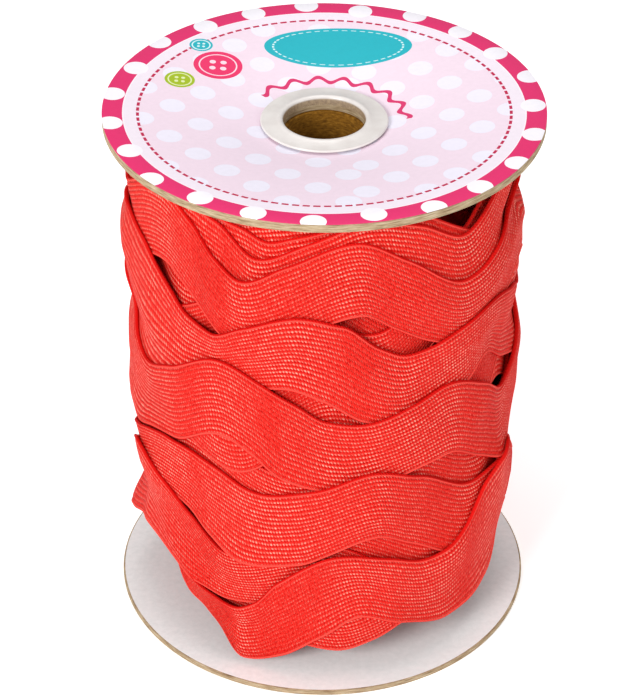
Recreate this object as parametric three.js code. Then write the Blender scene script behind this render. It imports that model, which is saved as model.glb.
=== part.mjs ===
// Roll of ric rac: a wavy braided tape wound on a paperboard spool.
// Millimetres, +Z up. The origin is the centre of the underside, and -Y is the front.
// Each piece that a maker cuts or fits is one named mesh: the tube, the two board discs, the paper
// disc glued on the top one, the plastic ring in its centre, and the wound tape.
import * as THREE from 'three';

// ---- Driving dimensions ----
const FLANGE_RADIUS = 47.6;
const OVERALL_HEIGHT = 125.4;
const BOARD_THICKNESS = 1.4;
const LABEL_THICKNESS = 0.3;
const PIECE_GAP = 0.3;
const DISH_DEPTH = 3.8;
const DISH_POWER = 1.5;
const DISH_RING_RADII = [18.5, 25, 34];
const HOLE_RADIUS = 8.9;
const RING_RADIUS = 13.8;
const RING_THICKNESS = 0.9;
const RING_LIP_RADIUS = 0.8;
const TUBE_INNER_RADIUS = 8.4;
const TUBE_OUTER_RADIUS = 10.6;
const BOARD_EDGE_BREAK = 0.15;
const DISC_SIDES = 72;

// ---- The tape and how it is wound ----
const TAPE_WIDTH = 18.4;
const TAPE_CROWN = 0.5;
const TAPE_RADIUS = 43.0;
const WAVE_RISE = 5.4;
const HALF_WAVE_ANGLE = 33;
const ROLL_COLUMNS = 108;
const EDGE_DROP = 0.5;
const FOLLOWING_EDGE_COVER = 1.2;
const SMALLEST_ROW_STEP = 0.15;
const SHALLOW_GROOVE = 0.8;
const DEEP_GROOVE = 2.2;
const ROLL_LOWEST = 2.6;
const ROLL_END_SLOPE = 0.6;
const FOOT_RADII = [34, 24];
const ROLL_TOP_CLEARANCE = 1.4;
const ROLL_HEAD_RADIUS = 40.6;

// ---- Worked out from the above ----
const labelRimTop = OVERALL_HEIGHT;
const topBoardRimTop = labelRimTop - LABEL_THICKNESS - PIECE_GAP;
const topBoardHubUnderside = topBoardRimTop - DISH_DEPTH - BOARD_THICKNESS;
const labelHubTop = labelRimTop - DISH_DEPTH;
const tubeBottom = BOARD_THICKNESS + PIECE_GAP;
const tubeTop = topBoardHubUnderside - PIECE_GAP;
const rollBoreRadius = TUBE_OUTER_RADIUS + PIECE_GAP;

// The bends of each turn of the tape that shows, from the top of the roll to its foot. angle is in
// degrees round the spool from the front, positive to the right; middle is the height of the tape's
// centre line at that bend; radius is how far out the tape lies there.
const turns = [
  [
    { angle: -18, bend: 'trough', middle: 104.8, radius: 41.8 },
    { angle: 13, bend: 'crest', middle: 114.0, radius: 41.8 },
    { angle: 45, bend: 'trough', middle: 104.8, radius: 41.8 },
  ],
  [
    { angle: -52, bend: 'crest', middle: 111.8, radius: 42.8 },
    { angle: -23, bend: 'trough', middle: 98.4, radius: 42.8 },
    { angle: 10, bend: 'crest', middle: 108.5, radius: 43.0 },
    { angle: 50, bend: 'trough', middle: 94.1, radius: 43.8 },
    { angle: 84, bend: 'crest', middle: 101.0, radius: 44.2 },
  ],
  [
    { angle: -73, bend: 'crest', middle: 92.5, radius: 44.6 },
    { angle: -38, bend: 'trough', middle: 81.6, radius: 43.6 },
    { angle: -7, bend: 'crest', middle: 90.4, radius: 43.2 },
    { angle: 31, bend: 'trough', middle: 79.1, radius: 43.2 },
    { angle: 55, bend: 'crest', middle: 83.4, radius: 43.4 },
  ],
  [
    { angle: -62, bend: 'trough', middle: 63.0, radius: 44.2 },
    { angle: -31, bend: 'crest', middle: 74.2, radius: 43.8 },
    { angle: 10, bend: 'trough', middle: 62.5, radius: 43.2 },
    { angle: 39, bend: 'crest', middle: 66.4, radius: 43.6 },
    { angle: 68, bend: 'trough', middle: 56.3, radius: 44.2 },
  ],
  [
    { angle: -50, bend: 'crest', middle: 49.5, radius: 44.2 },
    { angle: -18, bend: 'trough', middle: 42.0, radius: 43.8 },
    { angle: 16, bend: 'crest', middle: 49.5, radius: 43.6 },
    { angle: 47, bend: 'trough', middle: 37.1, radius: 42.8 },
  ],
  [
    { angle: -65, bend: 'crest', middle: 39.0, radius: 43.0 },
    { angle: -34, bend: 'trough', middle: 28.2, radius: 43.0 },
    { angle: 0, bend: 'crest', middle: 38.0, radius: 42.4 },
    { angle: 32, bend: 'trough', middle: 29.0, radius: 42.2 },
  ],
  [
    { angle: -62, bend: 'crest', middle: 27.5, radius: 43.6 },
    { angle: -25, bend: 'trough', middle: 13.4, radius: 43.6 },
    { angle: 10, bend: 'crest', middle: 27.5, radius: 43.8 },
    { angle: 44, bend: 'trough', middle: 20.4, radius: 43.8 },
    { angle: 68, bend: 'crest', middle: 34.0, radius: 44.0 },
    { angle: 105, bend: 'trough', middle: 17.0, radius: 43.2 },
    { angle: 140, bend: 'crest', middle: 22.0, radius: 43.0 },
    { angle: 180, bend: 'trough', middle: 12.2, radius: 42.6 },
  ],
];

// Every bend of the whole winding in order, with angle counted on through the turns. Between the
// last bend listed of one turn and the first of the next, round the back, the waves run on evenly.
function windingBends() {
  const riseOf = (row) => (row.bend === 'crest' ? WAVE_RISE : -WAVE_RISE);
  const bends = [];
  turns.forEach((rows, turn) => {
    const listed = rows.map((row) => ({ ...row, angle: row.angle + 360 * turn }));
    const last = bends[bends.length - 1];
    if (last) {
      const first = listed[0];
      const span = first.angle - last.angle;
      let between = Math.round(span / HALF_WAVE_ANGLE) - 1;
      const wantsOdd = last.bend === first.bend;
      if ((between % 2 === 1) !== wantsOdd) between -= 1;
      for (let i = 1; i <= between; i++) {
        const share = i / (between + 1);
        const bend = (i % 2 === 1) === (last.bend === 'crest') ? 'trough' : 'crest';
        const mean = THREE.MathUtils.lerp(last.middle - riseOf(last), first.middle - riseOf(first), share);
        bends.push({
          angle: last.angle + span * share,
          bend,
          middle: mean + riseOf({ bend }),
          radius: TAPE_RADIUS,
        });
      }
    }
    bends.push(...listed);
  });
  return bends;
}

const bends = windingBends();

// The tape's middle height and radius on one turn at one angle: half a cosine from bend to bend.
function tapeAt(turn, angle) {
  const along = angle + 360 * turn;
  const next = bends.findIndex((bend) => bend.angle >= along);
  if (next === 0) return bends[0];
  if (next < 0) return bends[bends.length - 1];
  const from = bends[next - 1];
  const to = bends[next];
  const share = (1 - Math.cos((Math.PI * (along - from.angle)) / (to.angle - from.angle))) / 2;
  return {
    middle: THREE.MathUtils.lerp(from.middle, to.middle, share),
    radius: THREE.MathUtils.lerp(from.radius, to.radius, share),
  };
}

// How far a dished disc lies below its rim at a radius: its whole depth inside the ring's edge, easing
// to nothing at the rim.
function sagAt(radius, dish) {
  const share = THREE.MathUtils.clamp((radius - RING_RADIUS) / (FLANGE_RADIUS - RING_RADIUS), 0, 1);
  return dish * (1 - share) ** DISH_POWER;
}

function topBoardUnderside(radius) {
  return topBoardRimTop - BOARD_THICKNESS - sagAt(radius, DISH_DEPTH);
}

// Rows down the outside of the winding at one angle, five for each turn: upper edge, crown, lower
// edge, and the two sides of the groove below it. A turn that is overlapped by the one below it
// keeps its rows just above that turn's edge.
const ROWS_PER_TURN = 5;

function outsideRows(angle) {
  const half = TAPE_WIDTH / 2;
  const rows = [];
  for (let turn = 0; turn < turns.length; turn++) {
    const tape = tapeAt(turn, angle);
    const isLast = turn === turns.length - 1;
    const below = isLast ? null : tapeAt(turn + 1, angle);
    const edgeBelow = isLast ? -Infinity : below.middle + half;
    const lowerEdge = Math.max(tape.middle - half, edgeBelow + FOLLOWING_EDGE_COVER);
    const opening = isLast ? 0 : THREE.MathUtils.clamp((tape.middle - half - edgeBelow) / 4, 0, 1);
    const groove = THREE.MathUtils.lerp(SHALLOW_GROOVE, DEEP_GROOVE, opening);
    const floor = Math.min(tape.radius, isLast ? tape.radius : below.radius) - groove;
    rows.push({ radius: tape.radius, height: tape.middle + half });
    rows.push({ radius: tape.radius + TAPE_CROWN, height: tape.middle });
    rows.push({ radius: tape.radius, height: lowerEdge });
    rows.push({ radius: floor, height: lowerEdge - EDGE_DROP });
    rows.push({ radius: floor, height: isLast ? lowerEdge - 2 * EDGE_DROP : edgeBelow + EDGE_DROP });
  }
  rows[rows.length - 1].height = Math.max(rows[rows.length - 1].height, ROLL_LOWEST + EDGE_DROP);
  for (let i = rows.length - 2; i >= 0; i--) {
    rows[i].height = Math.max(rows[i].height, rows[i + 1].height + SMALLEST_ROW_STEP);
  }
  let ceiling = topBoardUnderside(ROLL_HEAD_RADIUS) - ROLL_TOP_CLEARANCE - SMALLEST_ROW_STEP;
  for (const row of rows) {
    row.height = Math.min(row.height, ceiling);
    ceiling = row.height - SMALLEST_ROW_STEP;
  }
  return rows;
}

// Rows round the foot, up the bore and back over the top of the winding at one angle. The foot is
// drawn in like a cone, because the inner turns hang nearer to the lower board than the outer ones.
// The head follows the dished board above it, a little inside the uppermost turn.
function insideRows(outside) {
  const foot = outside[outside.length - 1];
  const footAt = (radius) => ({
    radius,
    height: Math.max(ROLL_LOWEST, foot.height - EDGE_DROP - ROLL_END_SLOPE * (foot.radius - radius)),
  });
  const headAt = (radius) => ({ radius, height: topBoardUnderside(radius) - ROLL_TOP_CLEARANCE });
  return [
    ...FOOT_RADII.map(footAt),
    { radius: rollBoreRadius, height: ROLL_LOWEST },
    headAt(rollBoreRadius),
    headAt(ROLL_HEAD_RADIUS),
  ];
}

// The wound tape as one closed ring. Column by column the rows join straight across, but where the
// last column meets the first each row of the outside joins the next turn's, as the tape winds down.
function woundTapeGeometry() {
  const columns = [];
  for (let i = 0; i < ROLL_COLUMNS; i++) {
    const angle = -180 + (360 * i) / ROLL_COLUMNS;
    const outside = outsideRows(angle);
    columns.push({ angle, outside, inside: insideRows(outside) });
  }
  const outsideCount = columns[0].outside.length;
  const rowCount = outsideCount + columns[0].inside.length;
  const positions = [];
  for (const { angle, outside, inside } of columns) {
    const turned = THREE.MathUtils.degToRad(angle);
    for (const { radius, height } of [...outside, ...inside]) {
      positions.push(radius * Math.sin(turned), -radius * Math.cos(turned), height);
    }
  }
  const triangles = [];
  const joinRows = (left, right, fromRow, toRow, shift) => {
    for (let row = fromRow; row < toRow; row++) {
      const below = (row + 1) % rowCount;
      const a = left * rowCount + row;
      const b = left * rowCount + below;
      const c = right * rowCount + row + shift;
      const d = right * rowCount + (shift ? row + 1 + shift : below);
      triangles.push(a, b, d, a, d, c);
    }
  };
  for (let left = 0; left < ROLL_COLUMNS; left++) {
    const right = (left + 1) % ROLL_COLUMNS;
    const isSeam = right === 0;
    const shift = isSeam ? ROWS_PER_TURN : 0;
    joinRows(left, right, 0, outsideCount - 1 - shift, shift);
    joinRows(left, right, outsideCount - 1, rowCount, 0);
    if (isSeam) {
      for (let row = 0; row < shift; row++) {
        triangles.push(left * rowCount, right * rowCount + row + 1, right * rowCount + row);
        const low = outsideCount - 1 - shift + row;
        triangles.push(right * rowCount + outsideCount - 1, left * rowCount + low, left * rowCount + low + 1);
      }
    }
  }
  const geometry = new THREE.BufferGeometry();
  geometry.setAttribute('position', new THREE.Float32BufferAttribute(positions, 3));
  geometry.setIndex(triangles);
  geometry.computeVertexNormals();
  return geometry;
}

// A closed section, given as [radius, height] going round it, turned about the spool's axis.
function turnedGeometry(section) {
  const points = section.map(([radius, height]) => new THREE.Vector2(radius, height));
  points.push(points[0].clone());
  return new THREE.LatheGeometry(points, DISC_SIDES).rotateX(Math.PI / 2);
}

// A board or paper disc with a centre hole. It is flat, or its middle is pressed down by dish.
function discSection(rimTop, thickness, dish) {
  const edge = Math.min(BOARD_EDGE_BREAK, thickness / 3);
  const pressedRadii = dish > 0 ? [RING_RADIUS, ...DISH_RING_RADII] : [];
  const topRadii = [HOLE_RADIUS, ...pressedRadii, FLANGE_RADIUS - edge];
  const top = topRadii.map((radius) => [radius, rimTop - sagAt(radius, dish)]);
  const underside = top.map(([radius, height]) => [radius, height - thickness]);
  return [
    ...underside,
    [FLANGE_RADIUS, rimTop - thickness + edge],
    [FLANGE_RADIUS, rimTop - edge],
    ...top.reverse(),
  ];
}

function hubRingSection() {
  const underside = labelHubTop + PIECE_GAP;
  const top = underside + RING_THICKNESS;
  const section = [
    [HOLE_RADIUS, underside],
    [RING_RADIUS - 0.3, underside],
    [RING_RADIUS, underside + 0.3],
    [RING_RADIUS - 0.1, top - 0.25],
    [RING_RADIUS - 0.4, top],
  ];
  const lipSteps = 4;
  for (let i = 0; i <= lipSteps; i++) {
    const turned = (Math.PI / 2) * (i / lipSteps);
    section.push([
      HOLE_RADIUS + RING_LIP_RADIUS * (1 - Math.sin(turned)),
      top - RING_LIP_RADIUS * (1 - Math.cos(turned)),
    ]);
  }
  return section;
}

function tubeSection() {
  return [
    [TUBE_INNER_RADIUS, tubeBottom],
    [TUBE_OUTER_RADIUS, tubeBottom],
    [TUBE_OUTER_RADIUS, tubeTop],
    [TUBE_INNER_RADIUS, tubeTop],
  ];
}

function namedMesh(name, geometry, color, roughness) {
  const material = new THREE.MeshStandardMaterial({ color, roughness, metalness: 0 });
  const mesh = new THREE.Mesh(geometry, material);
  mesh.name = name;
  return mesh;
}

const BOARD_BROWN = 0xbda27a;
const TUBE_BROWN = 0x8a6a3e;
const LABEL_PINK = 0xf2d9e8;
const RING_WHITE = 0xe3dcd6;
const TAPE_CORAL = 0xeb4239;

const roll = new THREE.Group();
roll.name = 'roll_of_ric_rac';
roll.add(
  namedMesh('bottom_flange', turnedGeometry(discSection(BOARD_THICKNESS, BOARD_THICKNESS, 0)), BOARD_BROWN, 0.9),
  namedMesh('core_tube', turnedGeometry(tubeSection()), TUBE_BROWN, 0.95),
  namedMesh(
    'top_flange',
    turnedGeometry(discSection(topBoardRimTop, BOARD_THICKNESS, DISH_DEPTH)),
    BOARD_BROWN,
    0.9,
  ),
  namedMesh(
    'top_label',
    turnedGeometry(discSection(labelRimTop, LABEL_THICKNESS, DISH_DEPTH)),
    LABEL_PINK,
    0.45,
  ),
  namedMesh('hub_ring', turnedGeometry(hubRingSection()), RING_WHITE, 0.35),
  namedMesh('ric_rac_roll', woundTapeGeometry(), TAPE_CORAL, 0.85),
);

export default roll;
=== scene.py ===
import math

import bpy
import numpy as np
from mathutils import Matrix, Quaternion, Vector


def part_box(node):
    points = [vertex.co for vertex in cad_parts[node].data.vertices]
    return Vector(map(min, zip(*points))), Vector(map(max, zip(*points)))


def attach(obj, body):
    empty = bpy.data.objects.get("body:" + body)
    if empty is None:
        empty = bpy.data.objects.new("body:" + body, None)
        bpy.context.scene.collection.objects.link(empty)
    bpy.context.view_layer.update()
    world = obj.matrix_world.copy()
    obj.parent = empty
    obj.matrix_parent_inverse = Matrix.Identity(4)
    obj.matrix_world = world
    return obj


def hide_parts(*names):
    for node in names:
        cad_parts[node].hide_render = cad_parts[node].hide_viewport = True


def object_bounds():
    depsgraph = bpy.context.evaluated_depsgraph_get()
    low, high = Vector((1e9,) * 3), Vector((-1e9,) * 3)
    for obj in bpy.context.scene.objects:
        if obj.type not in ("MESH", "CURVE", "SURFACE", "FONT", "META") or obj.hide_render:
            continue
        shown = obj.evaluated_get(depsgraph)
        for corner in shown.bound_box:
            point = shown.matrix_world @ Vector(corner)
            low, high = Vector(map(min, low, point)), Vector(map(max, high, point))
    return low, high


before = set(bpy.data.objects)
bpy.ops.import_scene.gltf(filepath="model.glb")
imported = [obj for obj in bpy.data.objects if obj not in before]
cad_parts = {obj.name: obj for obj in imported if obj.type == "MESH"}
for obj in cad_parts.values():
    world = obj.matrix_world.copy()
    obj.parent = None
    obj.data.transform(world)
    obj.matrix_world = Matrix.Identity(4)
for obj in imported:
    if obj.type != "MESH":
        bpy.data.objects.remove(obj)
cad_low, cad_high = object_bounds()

# A roll of red ric rac on a paperboard spool. Metres, +Z up, the front of the roll towards -Y.
MM = 0.001

# ---- Sizes of the spool, from the frame where it gives them ----
_, board_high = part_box("bottom_flange")
_, top_board_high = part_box("top_flange")
label_low, label_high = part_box("top_label")
ring_low, ring_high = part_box("hub_ring")
tube_low, tube_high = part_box("core_tube")
RIM = board_high.x
HEIGHT = cad_high.z
BOTTOM_BOARD = board_high.z
LABEL = 0.12 * MM
TOP_BOARD_TOP = HEIGHT - LABEL - 0.02 * MM
TOP_BOARD = TOP_BOARD_TOP - (top_board_high.z - BOTTOM_BOARD)
HOLE = 8.9 * MM
HUB = ring_high.x
TUBE_BORE = 8.4 * MM
TUBE_OUTSIDE = tube_high.x
DISH_DEPTH = label_high.z - label_low.z - LABEL
DISH_POWER = 1.5
DISC_SIDES = 180
TUBE_SIDES = 96
RING_SIDES = 128
EDGE_BREAK = 0.18 * MM
SOFT_EDGE_BREAK = 0.4 * MM
TUBE_EDGE_BREAK = 0.25 * MM
PAPER_EDGE_BREAK = 0.06 * MM
LEVEL_FACE = 0.96

# ---- Sizes of the tape, in millimetres ----
TAPE_WIDTH = 18.4
PRESSED_THICKNESS = 0.9
WAVE_RISE = 5.4
ROLL_RADIUS = 43


def scene_camera():
    """A long lens, looking down on the front of the roll and turned a hair off level."""
    distance = 618.6 * MM
    elevation = math.radians(34.66)
    roll = 0.0038
    aside, below = -0.53 * MM, -0.60 * MM
    back = Vector((0, -math.cos(elevation), math.sin(elevation)))
    up = Vector((0, math.sin(elevation), math.cos(elevation)))
    centre = Vector((0, 0, HEIGHT / 2))
    place = centre + back * distance
    target = centre + Vector((aside, 0, 0)) + up * below
    data = bpy.data.cameras.new("camera")
    data.lens = 140.1
    data.sensor_width = 36
    camera = bpy.data.objects.new("camera", data)
    camera.location = place
    camera.rotation_mode = "QUATERNION"
    aim = (target - place).to_track_quat("-Z", "Y")
    camera.rotation_quaternion = aim @ Quaternion((0, 0, 1), roll)
    bpy.context.scene.collection.objects.link(camera)
    bpy.context.scene.camera = camera


scene_camera()


# ---- Shader helpers ----
def linear(code):
    """An sRGB hex colour as the linear RGBA that a shader takes."""
    parts = [int(code[i : i + 2], 16) / 255 for i in (1, 3, 5)]
    flat = [c / 12.92 if c <= 0.04045 else ((c + 0.055) / 1.055) ** 2.4 for c in parts]
    return (*flat, 1)


def add(tree, kind, *inputs, stops=(), **settings):
    """Adds a node with its settings, fills its inputs in order with numbers, colours or other nodes'
    outputs, and returns its first output. None leaves an input alone. stops are the positions and hex
    colours of a node that has a ramp."""
    node = tree.nodes.new("ShaderNode" + kind)
    for name, setting in settings.items():
        setattr(node, name, setting)
    for _ in stops[2:]:
        node.color_ramp.elements.new(0.5)
    for index, (place, code) in enumerate(stops):
        node.color_ramp.elements[index].position = place
        node.color_ramp.elements[index].color = linear(code)
    sockets = [socket for socket in node.inputs if socket.enabled]
    for socket, value in zip(sockets, inputs):
        if isinstance(value, bpy.types.NodeSocket):
            tree.links.new(value, socket)
        elif value is not None:
            socket.default_value = value
    return next(socket for socket in node.outputs if socket.enabled)


def new_material(name, **surface):
    """A material with a Principled surface, and its tree. Underscores in surface stand for spaces."""
    material = bpy.data.materials.new(name)
    material.use_nodes = True
    tree = material.node_tree
    shader = tree.nodes["Principled BSDF"]
    for socket, value in surface.items():
        shader.inputs[socket.replace("_", " ")].default_value = value
    return material, tree, shader


# ---- Materials ----
def braided_tape():
    """Matt spun polyester, braided flat: sixteen rows lie along the tape. In each a string of small stitches,
    lightened with a painted highlight, stands beside a line of pits darkened with painted shade, with a plain
    band of yarn before the next. A thin cord with a painted highlight finishes each edge, a groove beside it
    is darkened with painted shade, and the cut of the edge outside it is deep red with painted shade."""
    material, tree, shader = new_material("braided polyester", Roughness=0.7, Specular_IOR_Level=0.06)
    row_pitch = 1.06 * MM
    stitch_pitch = 0.72 * MM
    tape_width = TAPE_WIDTH * MM

    uv = add(tree, "UVMap", uv_map="braid")
    along = add(tree, "SeparateXYZ", uv)
    across = along.node.outputs["Y"]
    unevenness = add(tree, "TexNoise", uv, 420, 3, 0.6)
    wobble = add(tree, "Math", unevenness, 0.5 * MM, -0.25 * MM, operation="MULTIPLY_ADD")
    across_wobbly = add(tree, "Math", across, wobble)
    along_wobbly = add(tree, "Math", along, wobble)
    rows = add(tree, "Math", across_wobbly, row_pitch, operation="DIVIDE")
    in_row = add(tree, "Math", add(tree, "Math", rows, operation="FRACT"), -0.5)
    stagger = add(tree, "Math", add(tree, "Math", rows, operation="FLOOR"), 0.38, operation="MULTIPLY")
    straight = add(tree, "Math", along_wobbly, 1 / stitch_pitch, stagger, operation="MULTIPLY_ADD")
    slanting = add(tree, "Math", in_row, 0.6, straight, operation="MULTIPLY_ADD")

    def dabs(aside, half_aside, shift, half_along):
        """A string of small ovals along each row: 1 in the middle of each and 0 between them."""
        place = add(tree, "Math", add(tree, "Math", slanting, shift), operation="FRACT")
        along_it = add(tree, "Math", add(tree, "Math", place, -0.5), 1 / half_along, operation="MULTIPLY")
        beside = add(tree, "Math", in_row, aside)
        across_it = add(tree, "Math", beside, 1 / half_aside, operation="MULTIPLY")
        oval = add(tree, "CombineXYZ", along_it, across_it)
        far = add(tree, "VectorMath", oval, operation="LENGTH")
        return add(tree, "MapRange", far, 1.0, 0.3, 0.0, 1.0, interpolation_type="SMOOTHSTEP")

    bead = dabs(-0.12, 0.34, 0, 0.48)
    pit = dabs(0.24, 0.3, 0.5, 0.48)
    patches = add(tree, "TexNoise", uv, 110, 2, 0.55)
    contrast = add(tree, "MapRange", patches, 0.35, 0.62, 0.55, 1.0)
    cell = add(tree, "CombineXYZ", add(tree, "Math", slanting, operation="FLOOR"), rows)
    each = add(tree, "TexWhiteNoise", add(tree, "VectorMath", cell, operation="FLOOR"))
    brightness = add(tree, "MapRange", each, 0.0, 1.0, 0.3, 1.15)
    bead_highlight = add(tree, "Math", bead, brightness, operation="MULTIPLY")
    fuzz = add(tree, "TexNoise", uv, 1500, 2, 0.7)
    steep = add(tree, "Attribute", attribute_name="steepness").node.outputs["Fac"]
    fuzzy_patches = add(tree, "MapRange", patches, 0.45, 0.6, 0.75, 1.25)
    fuzziness = add(tree, "Math", steep, fuzzy_patches, operation="MULTIPLY")

    far_edge = add(tree, "Math", tape_width, across, operation="SUBTRACT")
    from_edge = add(tree, "Math", across, far_edge, operation="MINIMUM")
    # painted shade on the cut side of each edge
    shaded_cut = add(tree, "MapRange", from_edge, 0.22 * MM, 0.34 * MM, 1.0, 0.0)
    is_cord = add(tree, "MapRange", from_edge, 0.6 * MM, 0.7 * MM, 1.0, 0.0)
    is_body = add(tree, "Math", 1, is_cord, operation="SUBTRACT")
    # painted shade in the groove beside each edge cord
    painted_groove_shade = add(tree, "MapRange", from_edge, 0.7 * MM, 1.15 * MM, 1.0, 0.0)
    slant = add(tree, "Math", along, across)
    diagonal = add(tree, "Math", slant, math.tau / (0.7 * MM), operation="MULTIPLY")
    twist = add(tree, "Math", diagonal, operation="SINE")

    clear = add(tree, "MapRange", fuzziness, 0.2, 1.1, 1.0, 0.15)
    distinct = add(tree, "Math", contrast, clear, operation="MULTIPLY")
    shown = add(tree, "Math", distinct, is_body, operation="MULTIPLY")
    matted = add(tree, "MapRange", fuzziness, 0.0, 1.0, 0.35, 1.0)
    fuzz_shown = add(tree, "Math", matted, is_body, operation="MULTIPLY")
    light_fuzz = add(tree, "MapRange", fuzz, 0.54, 0.66, 0.0, 1.0)
    dark_fuzz = add(tree, "MapRange", fuzz, 0.46, 0.34, 0.0, 1.0)
    fibre = add(tree, "TexNoise", uv, 2200, 3)
    colour = add(tree, "ValToRGB", fibre, stops=[(0.3, "#D5150E"), (0.7, "#EA3026")])
    for code, mask, share in (
        # the stitches' pale colour is a painted highlight
        ("#FFA08D", add(tree, "Math", bead_highlight, shown, operation="MULTIPLY"), 1.0),
        # the pits' deep red is painted shade
        ("#C80000", add(tree, "Math", pit, shown, operation="MULTIPLY"), 1.0),
        ("#FF8070", add(tree, "Math", light_fuzz, fuzz_shown, operation="MULTIPLY"), 0.16),
        ("#C00000", add(tree, "Math", dark_fuzz, fuzz_shown, operation="MULTIPLY"), 0.8),
        # painted shade in the groove beside each cord
        ("#C20200", add(tree, "Math", painted_groove_shade, is_body, operation="MULTIPLY"), 0.5),
        # the cord's light colour is a painted highlight along each edge
        ("#FA5A4E", is_cord, 0.65),
        # the cut edge's deep red is painted shade
        ("#CC0000", shaded_cut, 0.9),
    ):
        share_here = add(tree, "Math", mask, share, operation="MULTIPLY")
        colour = add(tree, "Mix", share_here, colour, linear(code), data_type="RGBA")
    tree.links.new(colour, shader.inputs["Base Color"])

    stitched = add(tree, "Math", bead, pit, operation="SUBTRACT")
    woven = add(tree, "Math", stitched, is_body, operation="MULTIPLY")
    twisted = add(tree, "Math", twist, is_cord, operation="MULTIPLY")
    cord = add(tree, "Math", twisted, 0.3, woven, operation="MULTIPLY_ADD")
    relief = add(tree, "Math", fibre, 0.4, cord, operation="MULTIPLY_ADD")
    tree.links.new(add(tree, "Bump", 1.0, 0.15 * MM, None, relief), shader.inputs["Normal"])
    return material


def fibrous(name, grain_scale, stops, relief, roughness, specular):
    """A paper or board: a mottle of pulp, pale and dark, with a faint relief. grain_scale is in waves to the
    metre, along x, y and z."""
    material, tree, shader = new_material(name, Roughness=roughness, Specular_IOR_Level=specular)
    place = add(tree, "TexCoord").node.outputs["Object"]
    stretched = add(tree, "Mapping", place, None, None, grain_scale)
    pulp = add(tree, "TexNoise", stretched, 1, 5, 0.62)
    tree.links.new(add(tree, "ValToRGB", pulp, stops=stops), shader.inputs["Base Color"])
    tree.links.new(add(tree, "Bump", 0.6, relief, None, pulp), shader.inputs["Normal"])
    return material


def kraft_board():
    """Grey-brown chipboard: on its cut edge the pressed layers show as long pale and dark fibres."""
    stops = [(0.30, "#766044"), (0.46, "#A28C6E"), (0.60, "#B8A586"), (0.75, "#D0C2AA")]
    return fibrous("kraft chipboard", (300, 300, 3200), stops, 0.08 * MM, 0.95, 0.15)


def lining_paper():
    """The smooth off-white paper pasted over the board's faces, with a faint mottle of pulp."""
    stops = [(0.3, "#E7E8E7"), (0.7, "#F3F3F2")]
    return fibrous("lining paper", (700, 700, 700), stops, 0.03 * MM, 0.7, 0.3)


def tube_board():
    """Brown spiral-wound paper tube, unbleached and rough."""
    stops = [(0.3, "#5A3808"), (0.55, "#865A16"), (0.8, "#A87A2C")]
    return fibrous("spiral paper tube", (900, 900, 2400), stops, 0.15 * MM, 0.92, 0.2)


def hub_plastic():
    """White injection-moulded polystyrene, slightly milky, with a soft shine on its rounded inner lip. Under
    the lip its wall is thin enough for the brown of the tube to show through."""
    material, tree, shader = new_material("moulded polystyrene", Roughness=0.32, IOR=1.59)
    place = add(tree, "TexCoord").node.outputs["Object"]
    cloud = add(tree, "TexNoise", place, 260, 3)
    milky = add(tree, "ValToRGB", cloud, stops=[(0.3, "#DAD3CF"), (0.7, "#E6E1DD")])
    grain = add(tree, "TexNoise", place, 1600, 4, 0.7)
    through = add(tree, "ValToRGB", grain, stops=[(0.35, "#7C5E3A"), (0.65, "#AA8E66")])
    height = add(tree, "SeparateXYZ", place).node.outputs["Z"]
    lip_foot = ring_high.z - 0.75 * MM
    under_lip = add(tree, "MapRange", height, lip_foot, lip_foot + 0.35 * MM, 0.85, 0.0)
    level = add(tree, "VectorMath", place, (1, 1, 0), operation="MULTIPLY")
    radius = add(tree, "VectorMath", level, operation="LENGTH")
    on_wall = add(tree, "Math", radius, HOLE + 0.3 * MM, operation="LESS_THAN")
    thin = add(tree, "Math", under_lip, on_wall, operation="MULTIPLY")
    colour = add(tree, "Mix", thin, milky, through, data_type="RGBA")
    tree.links.new(colour, shader.inputs["Base Color"])
    tree.links.new(add(tree, "Bump", 0.3, 0.05 * MM, None, cloud), shader.inputs["Normal"])
    return material


def shaded_deep_tape():
    """The same polyester deep in the roll, where little light comes: its dull dark red is painted shade, and
    its stitches are lost.
    """
    stops = [(0.3, "#6E0705"), (0.7, "#A81410")]
    return fibrous("polyester deep in the roll, painted shade", (500, 500, 1200), stops, 0.2 * MM, 0.8, 0.1)


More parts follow.
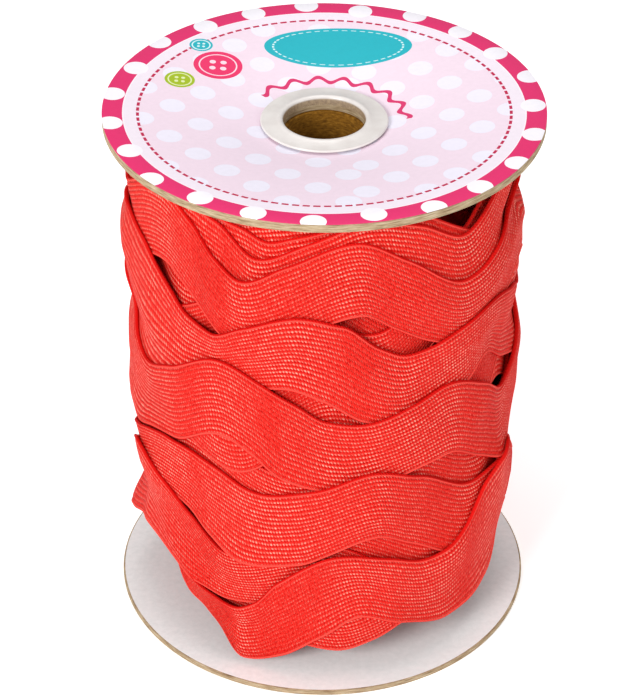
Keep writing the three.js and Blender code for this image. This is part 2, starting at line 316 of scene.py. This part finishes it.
def printed_paper():
    """Offset-printed label paper with a satin varnish: a pink border with white spots, a pale ring with a
    line of crimson stitches, and a pale pink middle with lilac spots and a few plain haberdashery motifs."""
    material, tree, shader = new_material("printed label paper", Roughness=0.45, IOR=1.5)
    place = add(tree, "TexCoord").node.outputs["Object"]
    flat = add(tree, "VectorMath", place, (1000, 1000, 0), operation="MULTIPLY")
    x = add(tree, "SeparateXYZ", flat)
    y = x.node.outputs["Y"]
    radius = add(tree, "VectorMath", flat, operation="LENGTH")
    angle = add(tree, "Math", y, x, operation="ARCTAN2")

    def spot(at_x, at_y, size):
        """A disc of the given radius."""
        far = add(tree, "VectorMath", flat, (at_x, at_y, 0), operation="DISTANCE")
        return add(tree, "Math", far, size, operation="LESS_THAN")

    def dashed(turn, count, share):
        """A run of dashes round a circle."""
        counted = add(tree, "Math", turn, count / math.tau, operation="MULTIPLY")
        place = add(tree, "Math", counted, operation="FRACT")
        return add(tree, "Math", place, share, operation="LESS_THAN")

    def together(masks):
        """Any of several masks."""
        joined = masks[0]
        for mask in masks[1:]:
            joined = add(tree, "Math", joined, mask, operation="MAXIMUM")
        return joined

    def lattice_spots(first, step, size):
        """Spots at every other crossing of a grid, like a chessboard's black squares."""
        shifted = add(tree, "VectorMath", flat, (*first, 0), operation="SUBTRACT")
        squares = add(tree, "VectorMath", shifted, (0.5 / step[0], 0.5 / step[1], 1), operation="MULTIPLY")
        column = add(tree, "SeparateXYZ", squares)
        row = column.node.outputs["Y"]
        rising = add(tree, "Math", column, row)
        falling = add(tree, "Math", column, row, operation="SUBTRACT")
        near_rise = add(tree, "Math", rising, operation="ROUND")
        near_fall = add(tree, "Math", falling, operation="ROUND")
        rising = add(tree, "Math", rising, near_rise, operation="SUBTRACT")
        falling = add(tree, "Math", falling, near_fall, operation="SUBTRACT")
        columns_off = add(tree, "Math", rising, falling)
        rows_off = add(tree, "Math", rising, falling, operation="SUBTRACT")
        aside = add(tree, "Math", columns_off, step[0], operation="MULTIPLY")
        above = add(tree, "Math", rows_off, step[1], operation="MULTIPLY")
        far = add(tree, "VectorMath", add(tree, "CombineXYZ", aside, above), operation="LENGTH")
        return add(tree, "Math", far, size, operation="LESS_THAN")

    def button(at_x, at_y, size):
        """A round button: its disc, and the fine line inside its rim with its four holes."""
        far = add(tree, "VectorMath", flat, (at_x, at_y, 0), operation="DISTANCE")
        marks = [add(tree, "Math", far, size * 0.76, 0.16, operation="COMPARE")]
        for aside, above in ((1, 1), (1, -1), (-1, 1), (-1, -1)):
            marks.append(spot(at_x + aside * size * 0.22, at_y + above * size * 0.22, size * 0.13))
        return spot(at_x, at_y, size), together(marks)

    border_inside = 43.1
    stitch_ring = 39.95
    in_middle = add(tree, "Math", radius, stitch_ring + 0.4, operation="LESS_THAN")
    on_left = add(tree, "Math", x, 8.2, operation="LESS_THAN")
    on_right = add(tree, "Math", x, 5.9, operation="GREATER_THAN")
    left_spots = lattice_spots((-1.26, -4.53), (6.28, 6.68), 2.75)
    right_spots = lattice_spots((14.9, -13.3), (6.2, 6.65), 2.75)
    left_half = add(tree, "Math", left_spots, on_left, operation="MULTIPLY")
    right_half = add(tree, "Math", right_spots, on_right, operation="MULTIPLY")
    middle_spots = together([left_half, right_half])
    border_spots = []
    for index in range(23):
        turn = math.radians(-30 + 360 / 23 * index)
        out = 45.6 + 1.1 * math.sin(2.4 * index + 0.6)
        border_spots.append(spot(out * math.cos(turn), out * math.sin(turn), 2.7))
    from_oval = add(tree, "VectorMath", flat, (3.0, 29.3, 0), operation="SUBTRACT")
    squashed = add(tree, "VectorMath", from_oval, (1 / 16.5, 1 / 7.4, 0), operation="MULTIPLY")
    oval_far = add(tree, "VectorMath", squashed, operation="LENGTH")
    oval_x = add(tree, "SeparateXYZ", squashed)
    oval_turn = add(tree, "Math", oval_x.node.outputs["Y"], oval_x, operation="ARCTAN2")
    ripple = add(tree, "Math", add(tree, "Math", angle, 20, operation="MULTIPLY"), operation="SINE")
    from_wave = add(tree, "Math", ripple, -0.9, radius, operation="MULTIPLY_ADD")
    large, large_marks = button(-23.5, 20.5, 5.4)
    small, small_marks = button(-31.6, 13.4, 3.3)
    tiny, tiny_marks = button(-27.5, 28.2, 2.6)

    on_stitch_ring = add(tree, "Math", radius, stitch_ring, 0.32, operation="COMPARE")
    on_border_line = add(tree, "Math", radius, border_inside, 0.14, operation="COMPARE")
    on_oval_line = add(tree, "Math", oval_far, 0.88, 0.014, operation="COMPARE")
    on_wave = add(tree, "Math", from_wave, 17.6, 0.6, operation="COMPARE")
    beyond_hub = add(tree, "Math", angle, math.radians(72), math.radians(70), operation="COMPARE")

    colour = linear("#F5E9F4")
    for code, mask, area in (
        ("#F4DEEC", in_middle, 1),
        ("#F3EEFC", middle_spots, in_middle),
        ("#C20A48", on_stitch_ring, dashed(angle, 116, 0.68)),
        ("#E3206A", add(tree, "Math", radius, border_inside, operation="GREATER_THAN"), 1),
        ("#FBF4FA", on_border_line, 1),
        ("#FAF6FD", together(border_spots), 1),
        ("#0FB3C1", add(tree, "Math", oval_far, 1, operation="LESS_THAN"), 1),
        ("#D9F4F6", on_oval_line, dashed(oval_turn, 44, 0.6)),
        ("#DB2C6B", on_wave, beyond_hub),
        ("#A5BE0A", small, 1),
        ("#E7F0B4", small_marks, small),
        ("#EE2B68", large, 1),
        ("#FBDCE8", large_marks, large),
        ("#0FB3C1", tiny, 1),
        ("#D9F4F6", tiny_marks, tiny),
    ):
        shown = add(tree, "Math", mask, area, operation="MULTIPLY")
        colour = add(tree, "Mix", shown, colour, linear(code), data_type="RGBA")
    fibre = add(tree, "TexNoise", place, 900, 3)
    shade = add(tree, "MapRange", fibre, 0.3, 0.7, 0.965, 1.0)
    colour = add(tree, "Mix", 1.0, colour, shade, data_type="RGBA", blend_type="MULTIPLY")
    tree.links.new(colour, shader.inputs["Base Color"])
    tree.links.new(add(tree, "Bump", 0.4, 0.03 * MM, None, fibre), shader.inputs["Normal"])
    return material


TAPE = braided_tape()
SHADED_DEEP_TAPE = shaded_deep_tape()
BOARD = kraft_board()
LINING = lining_paper()
TUBE = tube_board()
PLASTIC = hub_plastic()
PRINT = printed_paper()


# ---- The spool ----
def turned_piece(name, section, sides, edge_break=0.0):
    """Walks a ring of edges round a closed section of (radius, height) points, and rounds its corners."""
    bpy.ops.object.select_all(action="DESELECT")
    radius, height = section[0]
    bpy.ops.mesh.primitive_circle_add(vertices=sides, radius=radius, location=(0, 0, height))
    piece = bpy.context.object
    piece.name = name
    piece.data.name = name
    bpy.ops.object.mode_set(mode="EDIT")
    bpy.ops.mesh.select_all(action="SELECT")
    for next_radius, next_height in section[1:] + section[:1]:
        bpy.ops.mesh.extrude_edges_move(TRANSFORM_OT_translate={"value": (0, 0, next_height - height)})
        share = next_radius / radius
        bpy.ops.transform.resize(value=(share, share, 1), center_override=(0, 0, 0))
        radius, height = next_radius, next_height
    bpy.ops.mesh.select_all(action="SELECT")
    bpy.ops.mesh.remove_doubles(threshold=1e-6)
    bpy.ops.mesh.normals_make_consistent(inside=False)
    bpy.ops.object.mode_set(mode="OBJECT")
    bpy.ops.object.transform_apply(location=True, rotation=True, scale=True)
    if edge_break:
        bevel = piece.modifiers.new("edge", "BEVEL")
        bevel.width = edge_break
        bevel.segments = 2
        bevel.limit_method = "ANGLE"
        bevel.angle_limit = math.radians(50)
        bpy.ops.object.modifier_apply(modifier=bevel.name)
    bpy.ops.object.shade_smooth_by_angle(angle=math.radians(40))
    return piece


def dish_drop(radius):
    """How far the top board sags below its rim at a radius: most at the hub, next to nothing near the rim."""
    share = min(1, max(0, (radius - HUB) / (RIM - HUB)))
    return DISH_DEPTH * (1 - share) ** DISH_POWER


def dished_section(rim_top, thickness, hole):
    """The section of a sheet that sags with the dish, out along its underside and back along its top."""
    steps = [HUB + (RIM - HUB) * share for share in (0.12, 0.24, 0.36, 0.48, 0.6, 0.72, 0.86)]
    radii = [hole, HUB - 2 * MM, HUB, *steps, RIM]
    top = [(radius, rim_top - dish_drop(radius)) for radius in radii]
    underside = [(radius, height - thickness) for radius, height in reversed(top)]
    return top + underside


def dress(piece, node, slot, *materials):
    """Gives a piece its materials, hangs it on the root body and hides the node of the frame it stands for,
    if any.
    """
    piece.data.materials.clear()
    for material in materials:
        piece.data.materials.append(material)
    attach(piece, "root")
    if node:
        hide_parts(node)


def line_faces(piece):
    """The flat faces of a board take its second material, the lining paper, and its cut edges stay kraft."""
    for face in piece.data.polygons:
        if abs(face.normal.z) > LEVEL_FACE:
            face.material_index = 1


bottom = turned_piece(
    "bottom_board",
    [(HOLE, BOTTOM_BOARD), (HOLE, 0), (RIM, 0), (RIM, BOTTOM_BOARD)],
    DISC_SIDES,
    SOFT_EDGE_BREAK,
)
dress(bottom, "bottom_flange", "flange_board", BOARD, LINING)
line_faces(bottom)

top_section = dished_section(TOP_BOARD_TOP, TOP_BOARD, HOLE)
top = turned_piece("top_board", top_section, DISC_SIDES, EDGE_BREAK)
dress(top, "top_flange", "flange_board", BOARD, LINING)
line_faces(top)

label_section = dished_section(HEIGHT, LABEL, HOLE + 0.4 * MM)
label = turned_piece("printed_label", label_section, DISC_SIDES, PAPER_EDGE_BREAK)
dress(label, "top_label", "printed_paper", PRINT)

tube = turned_piece(
    "core_tube_paper",
    [
        (TUBE_BORE, tube_high.z),
        (TUBE_BORE, tube_low.z),
        (TUBE_OUTSIDE, tube_low.z),
        (TUBE_OUTSIDE, tube_high.z),
    ],
    TUBE_SIDES,
    TUBE_EDGE_BREAK,
)
dress(tube, "core_tube", "tube_board", TUBE)

ring_top = ring_high.z
ring_under = ring_low.z
ring = turned_piece(
    "hub_ring_plastic",
    [
        (HOLE, ring_under - 1.2 * MM),
        (HOLE + 0.5 * MM, ring_under - 1.2 * MM),
        (HOLE + 0.5 * MM, ring_under),
        (HUB - 0.15 * MM, ring_under),
        (HUB, ring_under + 0.2 * MM),
        (HUB - 0.25 * MM, ring_under + 0.5 * MM),
        (HOLE + 1.6 * MM, ring_under + 0.55 * MM),
        (HOLE + 1.15 * MM, ring_top - 0.12 * MM),
        (HOLE + 0.7 * MM, ring_top),
        (HOLE + 0.25 * MM, ring_top - 0.12 * MM),
        (HOLE, ring_top - 0.45 * MM),
    ],
    RING_SIDES,
)
dress(ring, "hub_ring", "ring_plastic", PLASTIC)


# ---- The ric rac: how it is wound ----
# Angles are in degrees, lengths in millimetres and reaches in steps of the laying grid.
HALF_WAVE = 33
COLUMN_STEP = 0.5
COLUMNS = round(360 / COLUMN_STEP)
LEVEL_STEP = 0.5
ACROSS = 38
LAYING_ROUNDS = 3
BEND_ACROSS = 26
REACH_ACROSS = 24
REACH_ALONG = 40
FOOT_OF_ROLL = 6
HEAD_OF_ROLL = 118
EDGE_MARGIN = 0.35
LEAST_RADIUS = 39.4
HIGHEST_EDGE = 122.6

# The tape's course where it shows, turn by turn, as it was wound: three passes down, up and down the spool.
# Each point is degrees round from the front, positive to the right, and a height in millimetres: first
# those of the upper selvage, then those of the lower. The turns with no lower ones are under the rest.
COURSE = [
    (0, [(-150, 116), (-117, 105)], []),
    (1, [(-150, 95), (-117, 84)], []),
    (2, [(-150, 76), (-117, 65)], []),
    (
        3,
        [
            (-120, 60), (-87, 50), (-54, 58), (-21, 47.5), (12, 55), (45, 45), (78, 51), (111, 38),
            (144, 43),
        ],
        [],
    ),
    (4, [(-170, 23.5), (-137, 33), (-100, 44), (-60, 47)], []),
    (
        5,
        [(-80, 43), (-62, 45), (-30, 29), (6, 25.8), (38, 34)],
        [
            (-80, 27), (-62, 28), (-45, 20), (-30, 11), (-12, 9.8), (5, 7.4), (16, 10.2), (25, 13.1),
            (42, 16),
        ],
    ),
    (6, [(5, 52), (38, 41)], []),
    (7, [(-8, 58), (25, 68)], []),
    (8, [(-60, 86), (-27, 75.4)], []),
    (9, [(-18, 104), (15, 94)], []),
    (10, [(-30, 119), (2, 122.4), (38, 112)], []),
    (
        11,
        [(-60, 122.4), (-24, 118.6), (-16, 116.3), (-8, 118), (20, 122.4)],
        [(-60, 104), (-24, 100), (-16, 97.9), (-8, 99.6), (20, 104)],
    ),
    (
        12,
        [
            (-52, 122.4), (-31, 119), (-19, 112.4), (-4, 117.2), (13, 121.6), (28, 118.8),
            (43, 113.3), (54, 117.2), (75, 122),
        ],
        [(-52, 104), (-20, 94.5), (13, 103.4), (45, 95.3), (75, 104)],
    ),
    (
        13,
        [
            (-52, 121.6), (-39, 117), (-32, 111), (-23, 107.3), (-10, 112.2), (9, 117.6),
            (24, 111.8), (42, 103.2), (59, 106.8), (80, 113),
        ],
        [
            (-51, 102.7), (-41, 99.3), (-22, 89.4), (10, 100.1), (20, 95.3), (31, 89.9), (47, 84.9),
            (78, 94),
        ],
    ),
    (
        14,
        [
            (-82, 107.4), (-63, 104.2), (-51, 97.8), (-42, 93), (-33, 92), (-22, 96.2), (-7, 100.7),
            (5, 98.4), (16, 91), (25, 87.8), (42, 91), (54, 93), (70, 90), (88, 84),
        ],
        [
            (-98, 85.5), (-62, 69), (-46, 71), (-10, 80.6), (0, 77.9), (12, 71.8), (26, 69),
            (44, 72.3), (57, 76.9), (68, 71.5), (88, 66),
        ],
    ),
    (
        15,
        [
            (-96, 86), (-64, 73), (-49, 77.8), (-30, 85.3), (-18, 81.8), (-8, 77), (1, 72.6),
            (9, 71.8), (27, 74.4), (39, 76.4), (55, 70.9), (67, 64.8), (98, 78),
        ],
        [
            (-76, 51.8), (-60, 56.4), (-47, 59), (-30, 66), (-20, 63), (-11, 57.3), (0, 54.8),
            (8, 53.9), (38, 58.3), (52, 52.4), (64, 47.8), (98, 59),
        ],
    ),
    (
        16,
        [
            (-86, 47.5), (-72, 52.3), (-60, 56.3), (-48, 58.5), (-33, 56.1), (-18, 52.7), (-2, 55.6),
            (14, 59.2), (29, 55.4), (50, 46.7), (63, 48.2), (84, 44),
        ],
        [
            (-80, 34), (-56, 43.4), (-44, 41), (-36, 36.3), (-23, 32), (-8, 34.1), (15, 41.6),
            (26, 37.4), (48, 28.6), (62, 29.2), (84, 25),
        ],
    ),
    (
        17,
        [
            (-98, 36), (-80, 43.5), (-65, 50.8), (-57, 48.3), (-43, 39.9), (-30, 33), (0, 40),
            (32, 29),
        ],
        [
            (-100, 16), (-85, 20), (-69, 25.4), (-60, 25.6), (-48, 24.6), (-38, 22.4), (-29, 20.2),
            (0, 24), (32, 13),
        ],
    ),
    (
        18,
        [
            (-100, 50), (-66, 38), (-43, 25.2), (-36, 21.4), (-27, 18.9), (-20, 21.9), (-13, 29),
            (4, 37.7), (20, 34.8), (31, 32.2), (38, 33.2), (45, 36.8), (54, 46), (66, 50), (105, 28),
            (140, 37), (178, 24),
        ],
        [
            (-98, 30), (-80, 25.6), (-64, 22.6), (-54, 20.8), (-50, 17), (-45, 14.7), (-40, 14),
            (-35, 11.8), (-25, 2.9), (-13, 5.4), (0, 12.4), (12, 18.6), (24, 15.1), (43, 9.8),
            (55, 10.4), (64, 12.4), (70, 16), (75, 22), (80, 24), (105, 10), (140, 18.6), (178, 5.6),
        ],
    ),
]
TURNS = len(COURSE)


def whole_course():
    """The points of both selvages right along the tape, with even waves put in where it runs out of sight."""
    upper, lower = [], []
    for turn, tops, feet in COURSE:
        tops = [(angle + 360 * turn, height) for angle, height in tops]
        feet = [(angle + 360 * turn, height) for angle, height in feet]
        if upper:
            start, end = upper[-1], tops[0]
            from_crest = upper[-1][1] > upper[-2][1]
            to_crest = tops[0][1] > tops[1][1]
            between = round((end[0] - start[0]) / HALF_WAVE) - 1
            if (between % 2 == 1) != (from_crest == to_crest):
                between -= 1
            first = start[1] - (WAVE_RISE if from_crest else -WAVE_RISE)
            last = end[1] - (WAVE_RISE if to_crest else -WAVE_RISE)
            for index in range(1, between + 1):
                share = index / (between + 1)
                rise = WAVE_RISE if from_crest == (index % 2 == 0) else -WAVE_RISE
                angle = start[0] + (end[0] - start[0]) * share + 3.5 * math.sin(2.1 * len(upper))
                height = first + (last - first) * share + rise + 1.1 * math.sin(1.3 * len(upper) + 1)
                upper.append((angle, height))
                lower.append((angle - 2, height - TAPE_WIDTH))
        upper += tops
        lower += feet or [(angle, height - TAPE_WIDTH) for angle, height in tops]
    return np.array(upper), np.array(lower)


def edge_heights(angles, points):
    """The height of one selvage at each angle: a smooth curve through its points that turns back
    only at them."""
    place, height = points[:, 0], points[:, 1]
    span = np.diff(place)
    slope = np.diff(height) / span
    before, after = slope[:-1], slope[1:]
    together = np.where(before + after, before + after, 1)
    passing = np.where(before * after > 0, 2 * before * after / together, 0)
    tilt = np.concatenate([[0], passing, [0]])
    end = np.clip(np.searchsorted(place, angles), 1, len(place) - 1)
    start = end - 1
    share = np.clip((angles - place[start]) / span[start], 0, 1)
    level = height[start] + (height[end] - height[start]) * share**2 * (3 - 2 * share)
    return level + share * (1 - share) * span[start] * ((1 - share) * tilt[start] - share * tilt[end])


upper_points, lower_points = whole_course()
column_angles = np.arange(TURNS * COLUMNS) * COLUMN_STEP - 180
upper_edge = np.minimum(edge_heights(column_angles, upper_points), HIGHEST_EDGE)
lower_edge = edge_heights(column_angles, lower_points)
across = np.linspace(0, 1, ACROSS)
heights = lower_edge[:, None] + (upper_edge - lower_edge)[:, None] * across


def laying_order():
    """Which turn lies over which, at each angle: the turns in order, from the innermost out."""
    angle = np.arange(COLUMNS) * COLUMN_STEP - 180
    rank = np.repeat(np.arange(TURNS, dtype=float)[:, None], COLUMNS, axis=1)
    rank[17, angle > -41] = 15.5
    rank[17, angle <= -41] = 18.5
    rank[15, angle > 61] = 16.5
    return np.argsort(rank, axis=0, kind="stable")


def slid(values, steps):
    """The array moved along its first axis, its ends held."""
    index = np.clip(np.arange(len(values)) - steps, 0, len(values) - 1)
    return values[index]


def bridged(values, spacing, bend_radius, reach):
    """Spans hollows as a stiff tape does: it bends into them no more tightly than bend_radius."""
    raised = values
    for step in range(1, reach + 1):
        drop = (step * spacing) ** 2 / (2 * bend_radius)
        raised = np.maximum(raised, np.maximum(slid(values, step), slid(values, -step)) - drop)
    lowered = raised
    for step in range(1, reach + 1):
        drop = (step * spacing) ** 2 / (2 * bend_radius)
        lowered = np.minimum(lowered, np.minimum(slid(raised, step), slid(raised, -step)) + drop)
    return lowered


def softened(values, times):
    """Evens out an array along its first axis."""
    for _ in range(times):
        values = (slid(values, 1) + 2 * values + slid(values, -1)) / 4
    return values


# Where the turns beneath pile up or leave a hollow: angle, height, rise, and how far it spreads both ways.
LUMPS = [
    (-88, 101, -1.6, 25, 14),
    (-88, 80, -4.4, 22, 5),
    (-88, 64, 2.4, 22, 9),
    (-88, 34, -13.0, 24, 8),
    (-88, 17, 4.0, 22, 5),
    (-42, 12, 1.5, 15, 7),
    (88, 109, -6.0, 22, 5),
    (88, 96, 2.0, 25, 9),
    (88, 74, -2.2, 22, 9),
    (88, 62, 1.8, 22, 7),
    (78, 24, -5.0, 26, 14),
    (5, 112, 0.4, 65, 14),
    (60, 68, 1.3, 15, 7),
    (-20, 57, 2.4, 20, 6),
    (-40, 94, 1.5, 20, 6),
    (42, 53, 1.6, 20, 6),
    (20, 16, 2.5, 20, 6),
]

# The finished roll pressed in or left proud by handling, every turn alike: figures in the same order.
PRESSES = [
    (-88, 105, -1.2, 25, 4),
    (-88, 79, -1.5, 22, 4),
    (-88, 61, -0.7, 22, 4),
    (-92, 37, -4.5, 32, 9),
    (-24, 5, 1.0, 10, 5),
    (-88, 19, 1.4, 22, 5),
    (88, 108, -4.4, 22, 4),
    (88, 100, -1.0, 22, 5),
    (88, 77, -0.9, 22, 6),
    (88, 48, -1.7, 22, 8),
    (80, 20, -0.5, 24, 5),
]


def swelling(places, angle, height):
    """How far the places in a table swell or hollow the roll at an angle and height."""
    total = 0
    for middle, middle_height, rise, spread, height_spread in places:
        aside = (angle - middle) / spread
        above = (height - middle_height) / height_spread
        total = total + rise * np.exp(-(aside**2) - above**2)
    return total


def lay_tape():
    """Lays every turn on what is already wound, and returns the radius of its middle at each point."""
    level = np.arange(round(HEIGHT / MM / LEVEL_STEP) + 1) * LEVEL_STEP
    angle = np.radians(np.arange(COLUMNS) * COLUMN_STEP)
    around = np.degrees(angle)[:, None] - 180
    uneven = 0.5 * np.sin(3 * angle)[:, None] * np.sin(level / 9)[None, :]
    uneven = uneven + 0.4 * np.sin(5 * angle + 1)[:, None] * np.sin(level / 6 + 2)[None, :]
    uneven = uneven + swelling(LUMPS, around, level[None, :])
    ends = np.minimum(level - FOOT_OF_ROLL, HEAD_OF_ROLL - level)
    floor = LEAST_RADIUS + uneven - np.clip(-ends, 0, 30)[None, :]
    order = laying_order()
    radius = np.zeros(heights.shape)
    half = PRESSED_THICKNESS / 2
    spacing = TAPE_WIDTH / (ACROSS - 1)
    rows = np.arange(COLUMNS)[:, None]
    for _ in range(LAYING_ROUNDS):
        surface = floor.copy()
        for turn in order:
            column = turn * COLUMNS + np.arange(COLUMNS)
            place = np.clip(heights[column] / LEVEL_STEP, 0, len(level) - 2)
            low = place.astype(int)
            part = place - low
            under = surface[rows, low] * (1 - part) + surface[rows, low + 1] * part
            spanned = bridged(under.T, spacing, BEND_ACROSS, REACH_ACROSS).T
            laid = np.maximum(softened(spanned.T, 4).T, under) + half
            radius[column] = np.maximum(laid, radius[column])
            width = (upper_edge - lower_edge)[column][:, None]
            share = (level[None, :] - lower_edge[column][:, None]) / width
            margin = EDGE_MARGIN / width
            inside = (share > -margin) & (share < 1 + margin)
            place = np.clip(share, 0, 1) * (ACROSS - 1)
            low = np.minimum(place.astype(int), ACROSS - 2)
            part = place - low
            settled = radius[column]
            outside = settled[rows, low] * (1 - part) + settled[rows, low + 1] * part + half
            surface = np.where(inside, np.maximum(surface, outside), surface)
        step = math.radians(COLUMN_STEP) * ROLL_RADIUS
        radius = softened(bridged(radius, step, ROLL_RADIUS, REACH_ALONG), 10)
    around = (column_angles + 180) % 360 - 180
    return radius + swelling(PRESSES, around[:, None], heights)


laid_radius = lay_tape()


# The section of the tape: distance across it and height off its middle, out along the outside from the
# lower selvage to the upper and back along the inside. A round cord runs along each edge.
EDGE_SECTION = [(0.0, 0.0), (0.07, 0.34), (0.3, 0.56), (0.53, 0.52), (0.72, 0.36), (1.0, 0.44), (1.5, 0.52)]
BODY_HEIGHT = 0.55
OUTER_STEPS = 16
INNER_STEPS = 8


def tape_section(body_steps):
    """The tape's closed section, with body_steps along its outside between the cords."""
    near = EDGE_SECTION
    far = [(TAPE_WIDTH - offset, lift) for offset, lift in reversed(near)]
    start, stop = near[-1][0], far[0][0]
    body = [(start + (stop - start) * i / body_steps, BODY_HEIGHT) for i in range(1, body_steps)]
    inner_steps = 6
    inside = [(stop + (start - stop) * i / inner_steps, -BODY_HEIGHT) for i in range(inner_steps + 1)]
    return near + body + far + [(TAPE_WIDTH - 0.3, -0.36)] + inside + [(0.3, -0.36)]


def tape_piece(name, first, last, step, body_steps):
    """One length of the tape as a closed strip, from one column of the laying grid to another."""
    section = np.array(tape_section(body_steps))
    column = np.arange(first, last + 1, step)
    place = section[:, 0] / TAPE_WIDTH * (ACROSS - 1)
    low = np.minimum(place.astype(int), ACROSS - 2)
    part = place - low
    laid = laid_radius[column]
    radius = laid[:, low] * (1 - part) + laid[:, low + 1] * part + section[:, 1]
    angle = np.radians(column_angles[column])[:, None]
    width = (upper_edge - lower_edge)[column][:, None]
    height = lower_edge[column][:, None] + width * section[:, 0] / TAPE_WIDTH
    points = np.stack([radius * np.sin(angle), -radius * np.cos(angle), height], axis=-1) * MM
    rings, sides = points.shape[:2]
    ring, side = np.meshgrid(np.arange(rings - 1), np.arange(sides), indexing="ij")
    after = (side + 1) % sides
    here = ring * sides
    there = here + sides
    corners = np.stack([here + side, here + after, there + after, there + side], -1)
    faces = [tuple(face) for face in corners.reshape(-1, 4).tolist()]
    faces.append(tuple(range(sides))[::-1])
    faces.append(tuple((rings - 1) * sides + side for side in range(sides)))
    mesh = bpy.data.meshes.new(name)
    mesh.from_pydata(points.reshape(-1, 3).tolist(), [], faces)
    middle = points.mean(axis=1)
    steps = np.linalg.norm(np.diff(middle, axis=0), axis=1)
    along = np.concatenate([[0], np.cumsum(steps)])
    flat = np.broadcast_arrays(along[:, None], section[None, :, 0] * MM)
    coordinates = np.stack(flat, axis=-1).reshape(-1, 2)
    uv = mesh.uv_layers.new(name="braid")
    vertex = np.zeros(len(mesh.loops), dtype=int)
    mesh.loops.foreach_get("vertex_index", vertex)
    uv.data.foreach_set("uv", coordinates[vertex].astype(np.float32).ravel())
    slope = np.abs(np.gradient(height.mean(axis=1)) / np.gradient(along / MM))
    steepness = np.clip((slope - 0.25) / 0.35, 0, 1)
    stored = mesh.attributes.new("steepness", "FLOAT", "POINT")
    stored.data.foreach_set("value", np.repeat(steepness, sides).astype(np.float32))
    mesh.polygons.foreach_set("use_smooth", [True] * (len(faces) - 2) + [False] * 2)
    mesh.validate()
    piece = bpy.data.objects.new(name, mesh)
    bpy.context.scene.collection.objects.link(piece)
    flat_length = float(np.sum(radius.mean(axis=1)[1:]) * math.radians(step * COLUMN_STEP)) * MM
    return piece, flat_length


TUCKED_END = 11 * COLUMNS + round((48 + 180) / COLUMN_STEP)
outer, outer_length = tape_piece("ric_rac_outer_turns", 12 * COLUMNS, TURNS * COLUMNS - 1, 2, OUTER_STEPS)
dress(outer, "ric_rac_roll", "braided_tape", TAPE)
inner, inner_length = tape_piece("ric_rac_inner_turns", 0, TUCKED_END, 3, INNER_STEPS)
dress(inner, None, "braided_tape", TAPE)

# The turns deep in the roll are one solid. Its sizes are in millimetres, but for its bore.
CORE_RADIUS = LEAST_RADIUS - 1.5
CORE_INNERMOST = 24
CORE_FOOT = 6
CORE_HEAD = 117
CORE_BORE = TUBE_OUTSIDE + 0.3 * MM


def layer_edges(end_height, shoulder_height, lip):
    """An end of the roll, with a ridge for each layer of tape, a little short of the one under it."""
    layers = 14
    pitch = (CORE_RADIUS - CORE_INNERMOST) / layers
    edges = []
    for layer in range(layers):
        radius = CORE_INNERMOST + pitch * layer
        height = end_height + (shoulder_height - end_height) * (layer / layers) ** 1.3
        edges.append((radius * MM, height * MM))
        edges.append(((radius + pitch / 2) * MM, (height + lip) * MM))
    return edges + [(CORE_RADIUS * MM, shoulder_height * MM)]


core = turned_piece(
    "ric_rac_core_turns",
    [
        (CORE_BORE, CORE_FOOT * MM),
        *layer_edges(CORE_FOOT, 24, -0.7),
        *reversed(layer_edges(CORE_HEAD, 100, 0.7)),
        (CORE_BORE, CORE_HEAD * MM),
    ],
    TUBE_SIDES,
)
# the core's dull dark red is painted shade
dress(core, None, "braided_tape", SHADED_DEEP_TAPE)


# ---- Floor and light ----
def studio():
    """A backlit white table, a big soft light from the front left, a weaker one from the right, one from
    above and a light sky. The table's own glow is what keeps it white right up to the roll."""
    material, tree, shader = new_material(
        "backlit white acrylic", Roughness=0.9, Specular_IOR_Level=0.1, Emission_Strength=0.36
    )
    shader.inputs["Emission Color"].default_value = linear("#FFFFFF")
    grain = add(tree, "TexNoise", add(tree, "TexCoord").node.outputs["Object"], 30, 3)
    mottle = add(tree, "ValToRGB", grain, stops=[(0.3, "#FAFAFA"), (0.7, "#FEFEFE")])
    tree.links.new(mottle, shader.inputs["Base Color"])
    bpy.ops.mesh.primitive_plane_add(size=6)
    floor = bpy.context.object
    floor.name = "floor"
    floor.data.materials.append(material)
    for name, place, size, power in (
        ("key", (-0.8, -1.2, 0.85), 0.6, 20),
        ("fill", (1.1, -0.8, 0.7), 0.9, 4),
        ("top", (0.1, 0.2, 1.6), 1.0, 8.5),
    ):
        data = bpy.data.lights.new(name, "AREA")
        data.size = size
        data.energy = power
        light = bpy.data.objects.new(name, data)
        light.location = place
        light.rotation_mode = "QUATERNION"
        light.rotation_quaternion = (Vector((0, 0, HEIGHT / 2)) - Vector(place)).to_track_quat("-Z", "Y")
        bpy.context.scene.collection.objects.link(light)
    world = bpy.data.worlds.new("sky")
    world.use_nodes = True
    world.node_tree.nodes["Background"].inputs[0].default_value = (1, 1, 1, 1)
    world.node_tree.nodes["Background"].inputs[1].default_value = 0.38
    bpy.context.scene.world = world
    bpy.context.scene.view_settings.view_transform = "Standard"


studio()
